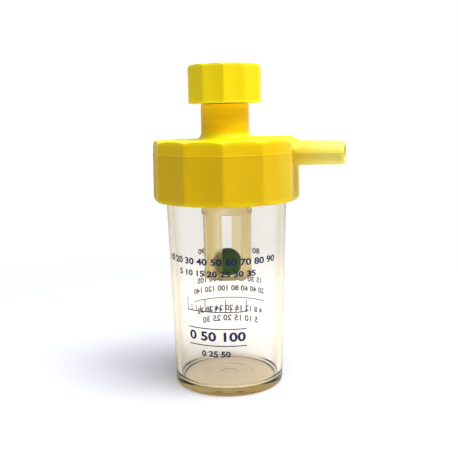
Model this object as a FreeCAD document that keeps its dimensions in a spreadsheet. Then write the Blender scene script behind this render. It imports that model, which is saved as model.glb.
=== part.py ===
import FreeCAD, Part
import math
import os
import re
import Sketcher

# Suction safety jar: a clear jar under a fluted screw cap with a side spigot, a float valve
# inside, and a union nut on the neck. Millimetres; the origin is the middle of the jar's
# underside, +Z is up and the spigot points along +X.

doc = FreeCAD.newDocument("SuctionJar")

# Driving dimensions

SIZES = {
    # Jar: drafted wall, floor with moulding marks on its inside, thread below the rim
    "jar_foot_radius": 22.5,
    "jar_shoulder_radius": 24.5,
    "jar_shoulder_height": 76.0,
    "jar_rim_height": 88.0,
    "jar_wall": 2.0,
    "jar_floor": 2.6,
    "floor_ring_radius": 10.0,
    "gate_mark_radius": 3.8,
    "floor_mark_depth": 0.2,
    "jar_inner_corner": 2.5,
    "jar_outer_corner": 1.2,
    "jar_rim_edge": 0.3,
    # Screw thread shared by jar and cap
    "thread_step": 0.4,
    "thread_depth": 1.3,
    "thread_pitch": 4.0,
    "thread_turns": 1.5,
    "thread_root_width": 1.9,
    "thread_crest_width": 1.0,
    "thread_gap": 0.35,
    "thread_below_rim": 1.2,
    "gasket_thickness": 1.6,
    "gasket_gap": 0.15,
    # Cap: fluted skirt and top plate
    "cap_radius": 30.0,
    "cap_draft": 0.8,
    "cap_overlap": 11.6,
    "cap_tall": 24.4,
    "cap_plate": 3.2,
    "cap_flutes": 12,
    "cap_flute_depth": 1.45,
    "cap_ridge_land": 0.8,
    "cap_top_edge": 1.7,
    "cap_foot_edge": 2.0,
    # Spigot, its bore and the rib over the bore
    "spigot_radius": 4.9,
    "spigot_reach": 48.3,
    "spigot_below_top": 5.5,
    "spigot_bore_radius": 3.0,
    "spigot_tip_edge": 1.0,
    "rib_radius": 6.8,
    "rib_reach": 27.3,
    "rib_slope": 3.2,
    # Neck and the boss that the cage hangs from
    "neck_radius": 9.7,
    "neck_tall": 14.1,
    "neck_foot_fillet": 3.2,
    "neck_top_edge": 0.5,
    "boss_radius": 8.8,
    "boss_length": 17.6,
    "duct_radius": 3.0,
    "bead_depth": 0.35,
    "bead_width": 1.6,
    "bead_above_boss_end": 3.5,
    # Float cage
    "cage_fit": 0.05,
    "cage_top_radius": 10.4,
    "cage_foot_radius": 10.15,
    "cage_wall": 1.5,
    "cage_hang": 35.5,
    "cage_overlap": 11.0,
    "cage_lip": 1.0,
    "cage_lip_hole_radius": 4.0,
    "cage_ledge": 2.0,
    "cage_ledge_hole_radius": 6.6,
    "cage_foot_edge": 0.4,
    "window_count": 4,
    "window_span": 50.0,
    "window_turn": 27.0,
    "window_foot": 1.8,
    "window_tall": 24.8,
    # Air filter in the end of the boss
    "filter_radius": 7.0,
    "filter_thickness": 3.0,
    "filter_gap": 0.05,
    # Ball and the seat it closes
    "ball_radius": 6.0,
    "ball_rest_gap": 0.1,
    "seat_thickness": 2.0,
    "seat_hole_radius": 4.0,
    "seat_hole_edge": 0.4,
    # Union nut
    "nut_radius": 14.95,
    "nut_tall": 14.9,
    "nut_gap": 0.3,
    "nut_web": 2.6,
    "nut_bore_radius": 9.2,
    "nut_relief_depth": 0.5,
    "nut_relief_tall": 3.2,
    "nut_mouth_chamfer": 0.8,
    "nut_flutes": 11,
    "nut_flute_depth": 0.85,
    "nut_ridge_land": 0.5,
    "nut_edge": 0.9,
    "nut_turn": 7.7,
    # Nipple that keeps the nut on the neck, and its washer
    "shank_radius": 6.0,
    "shank_depth": 11.0,
    "flange_gap": 0.4,
    "flange_thickness": 1.4,
    "washer_thickness": 1.2,
    "washer_hole_radius": 3.4,
}

sheet = doc.addObject("Spreadsheet::Sheet", "Sizes")
for row, (alias, size) in enumerate(SIZES.items(), start=1):
    sheet.set(f"A{row}", alias)
    sheet.set(f"B{row}", str(size))
    sheet.setAlias(f"B{row}", alias)
doc.recompute()

# Heights and radii that follow from the sizes, written as formulas of the sheet

SHORTHAND = {
    "thread_core": "(jar_shoulder_radius - thread_step)",
    "thread_tall": "(thread_pitch * thread_turns + thread_root_width)",
    "jar_rim_bore": "(jar_shoulder_radius - jar_wall)",
    "jar_foot_bore": "(jar_foot_radius - jar_wall)",
    "cap_bore": "(thread_core + thread_depth + thread_gap)",
    "cap_foot_height": "(jar_rim_height - cap_overlap)",
    "cap_land": "(cap_overlap + gasket_thickness)",
    "spigot_height": "(cap_tall - spigot_below_top)",
    "boss_end": "(cap_tall - cap_plate - boss_length)",
    "boss_end_height": "(cap_foot_height + boss_end)",
    "neck_top": "(cap_tall + neck_tall)",
    "neck_top_height": "(cap_foot_height + neck_top)",
    "cage_foot_height": "(boss_end_height - cage_hang)",
    "cage_bore": "(boss_radius + cage_fit)",
    "bead_foot": "(boss_end + bead_above_boss_end)",
    "seat_foot": "(cage_hang - seat_thickness)",
    "ledge_foot": "(seat_foot - cage_ledge)",
    "ball_height": "(cage_foot_height + cage_lip + ball_rest_gap"
                   " + sqrt(ball_radius^2 - cage_lip_hole_radius^2))",
    "flange_radius": "(nut_bore_radius - flange_gap)",
    "flange_foot": "(shank_depth + 2 * nut_gap + nut_web)",
    "flange_top": "(flange_foot + flange_thickness)",
    "nipple_height": "(neck_top_height - shank_depth)",
}


def formula(text):
    """Spell out the shorthands of a formula and name the sheet before each size."""
    while any(re.search(rf"\b{name}\b", text) for name in SHORTHAND):
        for name, meaning in SHORTHAND.items():
            text = re.sub(rf"\b{name}\b", meaning, text)
    return re.sub(r"[a-z_]+", lambda word: ("Sizes." if word[0] in SIZES else "") + word[0], text)


def size_of(text):
    """Value of a formula with the sheet's present sizes."""
    return float(sheet.evalExpression(formula(text)))


def bind(thing, prop, text):
    """Tie a property to a formula of the sheet."""
    thing.setExpression(prop, formula(text))


# Sketches and features used by several pieces


def new_body(label, height="0"):
    """Body with its own label, standing at a height above the origin."""
    body = doc.addObject("PartDesign::Body", label)
    body.Label = label
    bind(body, "Placement.Base.z", height)
    return body


def new_sketch(body, name, plane):
    """Empty sketch on one of the body's own origin planes."""
    sketch = body.newObject("Sketcher::SketchObject", name)
    support = next(item for item in body.Origin.OriginFeatures if item.Role == plane)
    sketch.AttachmentSupport = (support, [""])
    sketch.MapMode = "FlatFace"
    return sketch


def outline(sketch, corners):
    """Closed outline of straight lines; every corner is held by two formulas."""
    points = [FreeCAD.Vector(size_of(across), size_of(up), 0) for across, up in corners]
    count = len(points)
    for index in range(count):
        sketch.addGeometry(Part.LineSegment(points[index], points[(index + 1) % count]), False)
    for index in range(count):
        sketch.addConstraint(Sketcher.Constraint("Coincident", index, 2, (index + 1) % count, 1))
    for index, (across, up) in enumerate(corners):
        if across == "0":
            sketch.addConstraint(Sketcher.Constraint("PointOnObject", index, 1, -2))
        else:
            hold(sketch, "DistanceX", index, points[index].x, across)
        if up == "0":
            sketch.addConstraint(Sketcher.Constraint("PointOnObject", index, 1, -1))
        else:
            hold(sketch, "DistanceY", index, points[index].y, up)


def hold(sketch, kind, index, value, text):
    """Distance of a line's first point from the sketch's origin, tied to a formula."""
    place = sketch.addConstraint(Sketcher.Constraint(kind, -1, 1, index, 1, value))
    bind(sketch, f"Constraints[{place}]", text)


def circle(sketch, radius, centre="0"):
    """Circle with its centre on the sketch's horizontal axis."""
    middle = FreeCAD.Vector(size_of(centre), 0, 0)
    sketch.addGeometry(Part.Circle(middle, FreeCAD.Vector(0, 0, 1), size_of(radius)), False)
    place = sketch.addConstraint(Sketcher.Constraint("Radius", 0, size_of(radius)))
    bind(sketch, f"Constraints[{place}]", radius)
    if centre == "0":
        sketch.addConstraint(Sketcher.Constraint("Coincident", 0, 3, -1, 1))
    else:
        sketch.addConstraint(Sketcher.Constraint("PointOnObject", 0, 3, -1))
        place = sketch.addConstraint(Sketcher.Constraint("DistanceX", -1, 1, 0, 3, middle.x))
        bind(sketch, f"Constraints[{place}]", centre)


def turned(body, kind, sketch, axis="V_Axis"):
    """Revolution or Groove of a sketch through a full turn about one of its axes."""
    feature = body.newObject(f"PartDesign::{kind}", f"{sketch.Name}_{kind}")
    feature.Profile = sketch
    feature.ReferenceAxis = (sketch, [axis])
    feature.Angle = 360
    doc.recompute()
    return feature


def pocket(body, sketch, length, reverse, taper=None):
    """Pocket of a sketch; it has to take material away."""
    before = body.Shape.Volume
    feature = body.newObject("PartDesign::Pocket", f"{sketch.Name}_pocket")
    feature.Profile = sketch
    feature.Reversed = reverse
    bind(feature, "Length", length)
    if taper:
        bind(feature, "TaperAngle", taper)
    doc.recompute()
    if feature.Shape.Volume >= before:
        raise RuntimeError(f"{feature.Name} cuts nothing")
    return feature


def repeated(body, feature, count):
    """Copies of a feature evenly round the body's Z axis."""
    pattern = body.newObject("PartDesign::PolarPattern", f"{feature.Name}_round")
    pattern.Originals = [feature]
    pattern.Axis = next(item for item in body.Origin.OriginFeatures if item.Role == "Z_Axis"), [""]
    pattern.Angle = 360
    bind(pattern, "Occurrences", count)
    body.Tip = pattern
    doc.recompute()
    return pattern


def round_edges(body, kind, size, rings):
    """Fillet or Chamfer of the circular edges that have the given radii and heights."""
    base = body.Tip
    wanted = [(size_of(radius), size_of(height)) for radius, height in rings]
    names = []
    for index, edge in enumerate(base.Shape.Edges, start=1):
        if not isinstance(edge.Curve, Part.Circle) or abs(abs(edge.Curve.Axis.z) - 1) > 1e-6:
            continue
        for radius, height in wanted:
            if math.hypot(edge.Curve.Radius - radius, edge.Curve.Center.z - height) < 1e-4:
                names.append(f"Edge{index}")
    if len(names) < len(rings):
        raise RuntimeError(f"{body.Label}: an edge to be rounded is missing")
    feature = body.newObject(f"PartDesign::{kind}", f"{body.Name}_{kind}")
    feature.Base = (base, names)
    bind(feature, "Radius" if kind == "Fillet" else "Size", size)
    doc.recompute()
    return feature


def flutes(body, name, radius, depth, land, count, length, taper=None):
    """Hollow flutes cut round a fluted grip by a large cylinder or cone, one per flute.

    The cylinder meets the grip's outer circle at the edges of two ridge lands and goes as
    deep as the flute in the middle, so its radius follows from that chord and its rise.
    """
    half_turn = f"(180 / ({count}) - 90 * ({land}) / (pi * ({radius})))"
    half_chord = f"(({radius}) * sin({half_turn} * 1 deg))"
    rise = f"(({depth}) - ({radius}) * (1 - cos({half_turn} * 1 deg)))"
    reach = f"(({half_chord}^2 + {rise}^2) / (2 * {rise}))"
    sketch = new_sketch(body, name, "XY_Plane")
    circle(sketch, reach, f"({radius}) - ({depth}) + {reach}")
    repeated(body, pocket(body, sketch, length, True, taper), count)


def thread(body, name, root, crest, foot, faces_inwards):
    """Helical ridge of trapezoid section, its root sunk into the wall that carries it."""
    sunk = "thread_gap" if faces_inwards else "-thread_gap"
    sketch = new_sketch(body, name, "XZ_Plane")
    outline(sketch, [
        (f"{root} + {sunk}", foot),
        (crest, f"{foot} + (thread_root_width - thread_crest_width) / 2"),
        (crest, f"{foot} + (thread_root_width + thread_crest_width) / 2"),
        (f"{root} + {sunk}", f"{foot} + thread_root_width"),
    ])
    ridge = body.newObject("PartDesign::AdditiveHelix", f"{name}_ridge")
    ridge.Profile = sketch
    ridge.ReferenceAxis = (sketch, ["V_Axis"])
    ridge.Mode = "pitch-height-angle"
    bind(ridge, "Pitch", "thread_pitch")
    bind(ridge, "Height", "thread_pitch * thread_turns")
    doc.recompute()
    return ridge


# Jar


def make_jar():
    """Drafted clear jar: marked floor, tapered wall, threaded neck and flat rim."""
    jar = new_body("jar")
    sketch = new_sketch(jar, "jar_section", "XZ_Plane")
    outline(sketch, [
        ("0", "0"),
        ("jar_foot_radius", "0"),
        ("jar_shoulder_radius", "jar_shoulder_height"),
        ("thread_core", "jar_shoulder_height + thread_step"),
        ("thread_core", "jar_rim_height"),
        ("jar_rim_bore", "jar_rim_height"),
        ("jar_rim_bore", "jar_shoulder_height"),
        ("jar_foot_bore", "jar_floor"),
        ("floor_ring_radius", "jar_floor"),
        ("floor_ring_radius", "jar_floor - floor_mark_depth"),
        ("gate_mark_radius", "jar_floor - floor_mark_depth"),
        ("gate_mark_radius", "jar_floor - 2 * floor_mark_depth"),
        ("0", "jar_floor - 2 * floor_mark_depth"),
    ])
    turned(jar, "Revolution", sketch)
    round_edges(jar, "Fillet", "jar_inner_corner", [("jar_foot_bore", "jar_floor")])
    round_edges(jar, "Fillet", "jar_outer_corner", [("jar_foot_radius", "0")])
    round_edges(jar, "Fillet", "jar_rim_edge", [
        ("thread_core", "jar_rim_height"),
        ("jar_rim_bore", "jar_rim_height"),
    ])
    foot = "jar_rim_height - thread_below_rim - thread_tall"
    thread(jar, "jar_thread", "thread_core", "thread_core + thread_depth", foot, False)
    return jar


# Gasket


def make_gasket():
    """Flat rubber ring between the jar's rim and the land inside the cap."""
    gasket = new_body("jar_gasket", "jar_rim_height")
    sketch = new_sketch(gasket, "gasket_section", "XZ_Plane")
    outline(sketch, [
        ("jar_rim_bore", "0"),
        ("cap_bore - gasket_gap", "0"),
        ("cap_bore - gasket_gap", "gasket_thickness"),
        ("jar_rim_bore", "gasket_thickness"),
    ])
    turned(gasket, "Revolution", sketch)
    return gasket


# Cap


def make_cap():
    """Screw cap moulded in one with its spigot, duct rib, neck and cage boss."""
    cap = new_body("jar_cap", "cap_foot_height")
    outside = new_sketch(cap, "cap_outside", "XZ_Plane")
    top_radius = "cap_radius - cap_tall * tan(cap_draft * 1 deg)"
    outline(outside, [
        ("0", "0"),
        ("cap_radius", "0"),
        (top_radius, "cap_tall"),
        ("neck_radius", "cap_tall"),
        ("neck_radius", "neck_top"),
        ("0", "neck_top"),
    ])
    turned(cap, "Revolution", outside)
    round_edges(cap, "Fillet", "cap_foot_edge", [("cap_radius", "0")])
    round_edges(cap, "Fillet", "cap_top_edge", [(top_radius, "cap_tall")])
    round_edges(cap, "Fillet", "neck_foot_fillet", [("neck_radius", "cap_tall")])
    round_edges(cap, "Fillet", "neck_top_edge", [("neck_radius", "neck_top")])
    flutes(cap, "cap_flute", "cap_radius", "cap_flute_depth", "cap_ridge_land", "cap_flutes",
           "cap_tall", "cap_draft")
    add_spigot(cap)
    hollow_cap(cap)
    foot = "cap_overlap - thread_below_rim - thread_tall - thread_pitch / 2"
    thread(cap, "cap_thread", "cap_bore", "thread_core + thread_gap", foot, True)
    return cap


def add_spigot(cap):
    """Spigot turned about its own axis with the raised rib that covers its bore."""
    sketch = new_sketch(cap, "spigot_section", "XZ_Plane")
    bind(sketch, "AttachmentOffset.Base.y", "spigot_height")
    doc.recompute()
    outline(sketch, [
        ("duct_radius", "0"),
        ("spigot_reach", "0"),
        ("spigot_reach", "spigot_radius - spigot_tip_edge / 2"),
        ("spigot_reach - spigot_tip_edge", "spigot_radius"),
        ("rib_reach + rib_slope", "spigot_radius"),
        ("rib_reach", "rib_radius"),
        ("duct_radius", "rib_radius"),
    ])
    turned(cap, "Revolution", sketch, "H_Axis")


def hollow_cap(cap):
    """Inside of the cap: jar bore, gasket land, chamber round the boss, duct and socket."""
    sketch = new_sketch(cap, "cap_inside", "XZ_Plane")
    roof = "cap_tall - cap_plate"
    outline(sketch, [
        ("boss_radius", "0"),
        ("cap_bore", "0"),
        ("cap_bore", "cap_land"),
        ("jar_rim_bore", "cap_land"),
        ("jar_rim_bore", roof),
        ("boss_radius", roof),
        ("boss_radius", "bead_foot + bead_width"),
        ("boss_radius + bead_depth", "bead_foot + bead_width - bead_depth"),
        ("boss_radius + bead_depth", "bead_foot + bead_depth"),
        ("boss_radius", "bead_foot"),
    ])
    turned(cap, "Groove", sketch)
    sketch = new_sketch(cap, "cap_duct", "XZ_Plane")
    outline(sketch, [
        ("0", "0"),
        ("boss_radius + bead_depth", "0"),
        ("boss_radius + bead_depth", "boss_end"),
        ("filter_radius + filter_gap", "boss_end"),
        ("filter_radius + filter_gap", "boss_end + filter_thickness"),
        ("duct_radius", "boss_end + filter_thickness"),
        ("duct_radius", "neck_top - shank_depth"),
        ("shank_radius", "neck_top - shank_depth"),
        ("shank_radius", "neck_top"),
        ("0", "neck_top"),
    ])
    turned(cap, "Groove", sketch)
    sketch = new_sketch(cap, "spigot_bore", "YZ_Plane")
    bind(sketch, "AttachmentOffset.Base.y", "spigot_height")
    bind(sketch, "AttachmentOffset.Base.z", "spigot_reach")
    circle(sketch, "spigot_bore_radius")
    pocket(cap, sketch, "spigot_reach - cage_top_radius", False)


# Float cage


def make_cage():
    """Slotted tube snapped over the boss, with a ledge for the seat and a lip for the ball."""
    cage = new_body("float_cage", "cage_foot_height")
    sketch = new_sketch(cage, "cage_section", "XZ_Plane")
    bead = "cage_hang + bead_above_boss_end"
    outline(sketch, [
        ("cage_lip_hole_radius", "0"),
        ("cage_foot_radius", "0"),
        ("cage_top_radius", "ledge_foot"),
        ("cage_top_radius", "cage_hang + cage_overlap"),
        ("cage_bore", "cage_hang + cage_overlap"),
        ("cage_bore", f"{bead} + bead_width"),
        ("cage_bore + bead_depth", f"{bead} + bead_width - bead_depth"),
        ("cage_bore + bead_depth", f"{bead} + bead_depth"),
        ("cage_bore", bead),
        ("cage_bore", "seat_foot"),
        ("cage_ledge_hole_radius", "seat_foot"),
        ("cage_ledge_hole_radius", "ledge_foot"),
        ("cage_top_radius - cage_wall", "ledge_foot"),
        ("cage_foot_radius - cage_wall", "cage_lip"),
        ("cage_lip_hole_radius", "cage_lip"),
    ])
    turned(cage, "Revolution", sketch)
    round_edges(cage, "Fillet", "cage_foot_edge", [("cage_foot_radius", "0")])
    add_windows(cage)
    return cage


def add_windows(cage):
    """Tall windows through the cage wall, each a wedge seen from above."""
    sketch = new_sketch(cage, "cage_window", "XY_Plane")
    upright = FreeCAD.Rotation(FreeCAD.Vector(0, 0, 1), size_of("window_turn"))
    sketch.AttachmentOffset = FreeCAD.Placement(FreeCAD.Vector(), upright)
    bind(sketch, "AttachmentOffset.Base.z", "window_foot")
    bind(sketch, "AttachmentOffset.Rotation.Angle", "window_turn")
    doc.recompute()
    reach = "2 * cage_top_radius"
    half_width = f"{reach} * tan(window_span / 2 * 1 deg)"
    tip = FreeCAD.Vector(0, 0, 0)
    left = FreeCAD.Vector(size_of(reach), size_of(half_width), 0)
    right = FreeCAD.Vector(size_of(reach), -size_of(half_width), 0)
    for start, end in ((tip, left), (left, right), (right, tip)):
        sketch.addGeometry(Part.LineSegment(start, end), False)
    sketch.addConstraint(Sketcher.Constraint("Coincident", 0, 1, -1, 1))
    for index in range(3):
        sketch.addConstraint(Sketcher.Constraint("Coincident", index, 2, (index + 1) % 3, 1))
    sketch.addConstraint(Sketcher.Constraint("Symmetric", 1, 1, 1, 2, -1))
    hold(sketch, "DistanceX", 1, left.x, reach)
    hold(sketch, "DistanceY", 1, left.y, half_width)
    repeated(cage, pocket(cage, sketch, "window_tall", True), "window_count")


# Filter, ball and valve seat


def make_filter():
    """Thick felt disc in the end of the boss, kept there by the seat ring below it."""
    disc = doc.addObject("Part::Cylinder", "filter_disc")
    disc.Label = "filter_disc"
    bind(disc, "Radius", "filter_radius")
    bind(disc, "Height", "filter_thickness")
    bind(disc, "Placement.Base.z", "boss_end_height")
    return disc


def make_ball():
    """Float ball, lying in the hole of the cage's lip."""
    ball = doc.addObject("Part::Sphere", "float_ball")
    ball.Label = "float_ball"
    bind(ball, "Radius", "ball_radius")
    bind(ball, "Placement.Base.z", "ball_height")
    return ball


def make_seat():
    """Soft ring clamped between the cage's ledge and the end of the boss."""
    seat = new_body("valve_seat", "boss_end_height - seat_thickness")
    sketch = new_sketch(seat, "seat_section", "XZ_Plane")
    outline(sketch, [
        ("seat_hole_radius + seat_hole_edge", "0"),
        ("boss_radius", "0"),
        ("boss_radius", "seat_thickness"),
        ("seat_hole_radius", "seat_thickness"),
        ("seat_hole_radius", "seat_hole_edge"),
    ])
    turned(seat, "Revolution", sketch)
    return seat


# Union nut


def make_nut():
    """Fluted union nut with a web round the nipple and an open threaded mouth."""
    nut = new_body("coupling_nut", "neck_top_height + nut_gap")
    bind(nut, "Placement.Rotation.Angle", "nut_turn")
    sketch = new_sketch(nut, "nut_section", "XZ_Plane")
    outline(sketch, [
        ("shank_radius + nut_gap", "0"),
        ("nut_radius", "0"),
        ("nut_radius", "nut_tall"),
        ("nut_bore_radius + nut_mouth_chamfer", "nut_tall"),
        ("nut_bore_radius", "nut_tall - nut_mouth_chamfer"),
        ("nut_bore_radius", "nut_web + nut_relief_tall"),
        ("nut_bore_radius + nut_relief_depth", "nut_web + nut_relief_tall - nut_relief_depth"),
        ("nut_bore_radius + nut_relief_depth", "nut_web"),
        ("shank_radius + nut_gap", "nut_web"),
    ])
    turned(nut, "Revolution", sketch)
    round_edges(nut, "Fillet", "nut_edge", [("nut_radius", "0"), ("nut_radius", "nut_tall")])
    flutes(nut, "nut_flute", "nut_radius", "nut_flute_depth", "nut_ridge_land", "nut_flutes",
           "nut_tall")
    return nut


# Nipple and its washer


def make_nipple():
    """Tube fixed in the neck; its flange holds the nut and carries the washer."""
    nipple = new_body("nipple", "nipple_height")
    sketch = new_sketch(nipple, "nipple_section", "XZ_Plane")
    outline(sketch, [
        ("duct_radius", "0"),
        ("shank_radius", "0"),
        ("shank_radius", "flange_foot"),
        ("flange_radius", "flange_foot"),
        ("flange_radius", "flange_top"),
        ("duct_radius", "flange_top"),
    ])
    turned(nipple, "Revolution", sketch)
    return nipple


def make_washer():
    """Flat rubber washer on the flange, pressed by the fitting that the nut draws in."""
    washer = new_body("nipple_washer", "nipple_height + flange_top")
    sketch = new_sketch(washer, "washer_section", "XZ_Plane")
    outline(sketch, [
        ("washer_hole_radius", "0"),
        ("flange_radius", "0"),
        ("flange_radius", "washer_thickness"),
        ("washer_hole_radius", "washer_thickness"),
    ])
    turned(washer, "Revolution", sketch)
    return washer


pieces = [
    make_jar(),
    make_gasket(),
    make_cap(),
    make_cage(),
    make_filter(),
    make_ball(),
    make_seat(),
    make_nut(),
    make_nipple(),
    make_washer(),
]
doc.recompute()

# Every object has to be sound before a file is written

for item in doc.Objects:
    if "Invalid" in item.State or "Error" in item.State:
        raise RuntimeError(f"{item.Label} failed: {item.State}")
for piece in pieces:
    if piece.Shape.isNull() or not piece.Shape.isValid() or len(piece.Shape.Solids) != 1:
        raise RuntimeError(f"{piece.Label} is not one sound solid")

os.makedirs("parts", exist_ok=True)
for piece in pieces:
    piece.Shape.exportStep(f"parts/{piece.Label}.step")
    box = piece.Shape.BoundBox
    print(f"{piece.Label}: {piece.Shape.Volume:.1f} mm3, z {box.ZMin:.2f} to {box.ZMax:.2f}")
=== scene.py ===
import math

import bpy
import numpy as np
from mathutils import Matrix, Vector


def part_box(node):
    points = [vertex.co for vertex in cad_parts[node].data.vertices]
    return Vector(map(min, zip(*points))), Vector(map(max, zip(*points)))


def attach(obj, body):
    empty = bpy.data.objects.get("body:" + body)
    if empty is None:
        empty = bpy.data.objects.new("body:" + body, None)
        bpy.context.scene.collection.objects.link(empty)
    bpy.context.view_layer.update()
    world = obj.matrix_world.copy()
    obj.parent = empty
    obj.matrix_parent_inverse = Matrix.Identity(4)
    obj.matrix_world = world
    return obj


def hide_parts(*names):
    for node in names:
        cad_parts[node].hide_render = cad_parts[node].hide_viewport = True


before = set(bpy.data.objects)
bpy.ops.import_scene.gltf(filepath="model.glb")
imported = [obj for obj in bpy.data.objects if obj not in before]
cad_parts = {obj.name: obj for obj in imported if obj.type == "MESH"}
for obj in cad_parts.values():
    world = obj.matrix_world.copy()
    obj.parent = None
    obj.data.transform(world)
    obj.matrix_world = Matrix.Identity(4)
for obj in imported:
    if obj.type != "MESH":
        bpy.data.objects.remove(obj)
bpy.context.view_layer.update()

# Clear jar
# Injection moulded in one from amber-tinted transparent polysulfone: a drafted wall on a flat floor
# and a coarse screw thread below the rim. The floor keeps the ring and the gate mark of the mould.

MM = 0.001
JAR_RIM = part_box("jar")[1].z / MM
SHOULDER_RISE = 0.4
JAR_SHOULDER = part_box("jar_cap")[0].z / MM - SHOULDER_RISE
JAR_FOOT_RADIUS, JAR_SHOULDER_RADIUS, JAR_NECK_RADIUS = 22.5, 24.5, 24.1
JAR_WALL, JAR_FLOOR = 2.0, 2.6
MOULD_RING, GATE_RADIUS, MARK_STEP = 10.0, 3.8, 0.2
JAR_COLUMNS = 288
THREAD_PITCH, THREAD_TURNS, THREAD_DEPTH = 4.0, 1.5, 1.3
THREAD_ROOT, THREAD_CREST = 1.9, 1.0
THREAD_TOP = JAR_RIM - 1.2


def run_of(corners, reach=3.0, arc_steps=7, guard=0.12, closed=False):
    """Outline through corners (across, up, radius, reach), in millimetres.

    A corner with a radius becomes a tangent arc: its centre lies on the bisector, and the arc
    starts radius / tan(half the angle between the two runs) before the corner. The run after a
    corner gets points no further apart than reach, and a guard point close to each of its
    ends, which keeps its shading flat.
    """
    places = [np.array(corner[:2], float) for corner in corners]
    count = len(places)
    stretches = []
    for index, corner in enumerate(corners):
        here = places[index]
        radius = corner[2] if len(corner) > 2 else 0.0
        if radius == 0 or (not closed and index in (0, count - 1)):
            stretches.append(here[None, :])
            continue
        before = places[index - 1] - here
        after = places[(index + 1) % count] - here
        before /= np.linalg.norm(before)
        after /= np.linalg.norm(after)
        half = math.acos(np.clip(before @ after, -1, 1)) / 2
        middle = here + (before + after) / np.linalg.norm(before + after) * radius / math.sin(half)
        first = here + before * radius / math.tan(half) - middle
        last = here + after * radius / math.tan(half) - middle
        turn = math.pi - 2 * half
        share = np.linspace(0, 1, arc_steps + 1)[:, None]
        arc = (np.sin((1 - share) * turn) * first + np.sin(share * turn) * last) / math.sin(turn)
        stretches.append(middle + arc)
    outline = []
    for index, stretch in enumerate(stretches):
        outline.append(stretch)
        if index == count - 1 and not closed:
            break
        start = stretch[-1]
        end = stretches[(index + 1) % count][0]
        length = np.linalg.norm(end - start)
        if length < 2 * guard:
            continue
        step = corners[index][3] if len(corners[index]) > 3 else reach
        share = np.linspace(0, 1, max(1, math.ceil(length / step)) + 1)[1:-1]
        near = guard / length
        share = share[(share > 1.5 * near) & (share < 1 - 1.5 * near)]
        share = np.concatenate([[near], share, [1 - near]])
        outline.append(start + share[:, None] * (end - start))
    return np.concatenate(outline)


def turned(outline, columns):
    """Grid (row, column, xyz) of an outline (radius, height) turned about the Z axis.

    A point is (radius * cos(angle), radius * sin(angle), height). columns is a number of even
    steps, or an array of angles.
    """
    angle = np.arange(columns) / columns * 2 * math.pi if np.isscalar(columns) else columns
    radius = outline[:, 0][:, None]
    height = np.broadcast_to(outline[:, 1][:, None], (len(outline), len(angle)))
    return np.stack([radius * np.cos(angle), radius * np.sin(angle), height], axis=2)


def eased(share):
    """Smooth step from 0 to 1: 3 s^2 - 2 s^3 of the share cut to that range."""
    share = np.clip(share, 0, 1)
    return share * share * (3 - 2 * share)


def pushed_out(grid, distance):
    """The grid with every point moved away from the Z axis by a distance, one for each point."""
    radius = np.hypot(grid[..., 0], grid[..., 1])
    factor = 1 + distance / np.maximum(radius, 1e-9)
    return np.concatenate([grid[..., :2] * factor[..., None], grid[..., 2:]], axis=-1)


def helix_ridge(grid, foot, turns, pitch, root, crest):
    """Share of a screw ridge's height at each point, 0 to 1.

    The ridge climbs one pitch in a turn, from its foot at angle 0. Across it, the height is an
    eased slope from the edge of its root to the edge of its crest, and both ends run out over a
    twelfth of a turn.
    """
    angle = np.arctan2(grid[..., 1], grid[..., 0]) % (2 * math.pi) / (2 * math.pi)
    share = np.zeros(angle.shape)
    for lap in range(math.ceil(turns)):
        along = angle + lap
        across = np.abs(grid[..., 2] - foot - root / 2 - pitch * along)
        rise = eased((root / 2 - across) / ((root - crest) / 2))
        ends = eased(along * 12) * eased((turns - along) * 12)
        share = np.maximum(share, rise * ends)
    return share


def build(name, grid, ring=False):
    """Object from a grid in millimetres whose columns close round.

    Each cell is a quad. The rows close too if ring is true; otherwise the first and the last
    row have shrunk to a pole and get one vertex with a fan of triangles. Faces are turned
    outwards by the sign of the volume that they enclose.
    """
    rows, columns = grid.shape[:2]
    number = np.arange(rows * columns).reshape(rows, columns)
    if not ring:
        number[0] = number[0, 0]
        number[-1] = number[-1, 0]
    lower = number if ring else number[:-1]
    upper = np.roll(number, -1, axis=0) if ring else number[1:]
    faces = np.stack([lower, np.roll(lower, -1, axis=1), np.roll(upper, -1, axis=1), upper], axis=2)
    faces = faces.reshape(-1, 4)
    places = grid.reshape(-1, 3)
    a, b, c, d = (places[faces[:, k]] for k in range(4))
    if np.einsum("ij,ij->", a, np.cross(b, c)) + np.einsum("ij,ij->", a, np.cross(c, d)) < 0:
        faces = faces[:, ::-1]
    used, faces = np.unique(faces, return_inverse=True)
    corners = [tuple(dict.fromkeys(face)) for face in faces.reshape(-1, 4).tolist()]
    mesh = bpy.data.meshes.new(name)
    mesh.from_pydata((places[used] * MM).tolist(), [], corners)
    mesh.shade_smooth()
    piece = bpy.data.objects.new(name, mesh)
    bpy.context.scene.collection.objects.link(piece)
    return piece


def linear(hex_colour):
    """Linear colour of an sRGB hex value."""
    parts = [int(hex_colour[k:k + 2], 16) / 255 for k in (1, 3, 5)]
    return [part / 12.92 if part < 0.04045 else ((part + 0.055) / 1.055) ** 2.4 for part in parts] + [1]


def material_for(*pieces, name):
    """New empty material on the pieces, and its node tree."""
    material = bpy.data.materials.new(name)
    material.use_nodes = True
    material.node_tree.nodes.clear()
    for piece in pieces:
        piece.data.materials.append(material)
    return material.node_tree


def add(tree, kind, inputs, **settings):
    """A node with its settings; each input is given a value or the socket that feeds it."""
    node = tree.nodes.new("ShaderNode" + kind)
    for name, value in settings.items():
        setattr(node, name, value)
    for name, value in inputs.items():
        if isinstance(value, bpy.types.NodeSocket):
            tree.links.new(value, node.inputs[name])
        else:
            node.inputs[name].default_value = value
    return node


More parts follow.
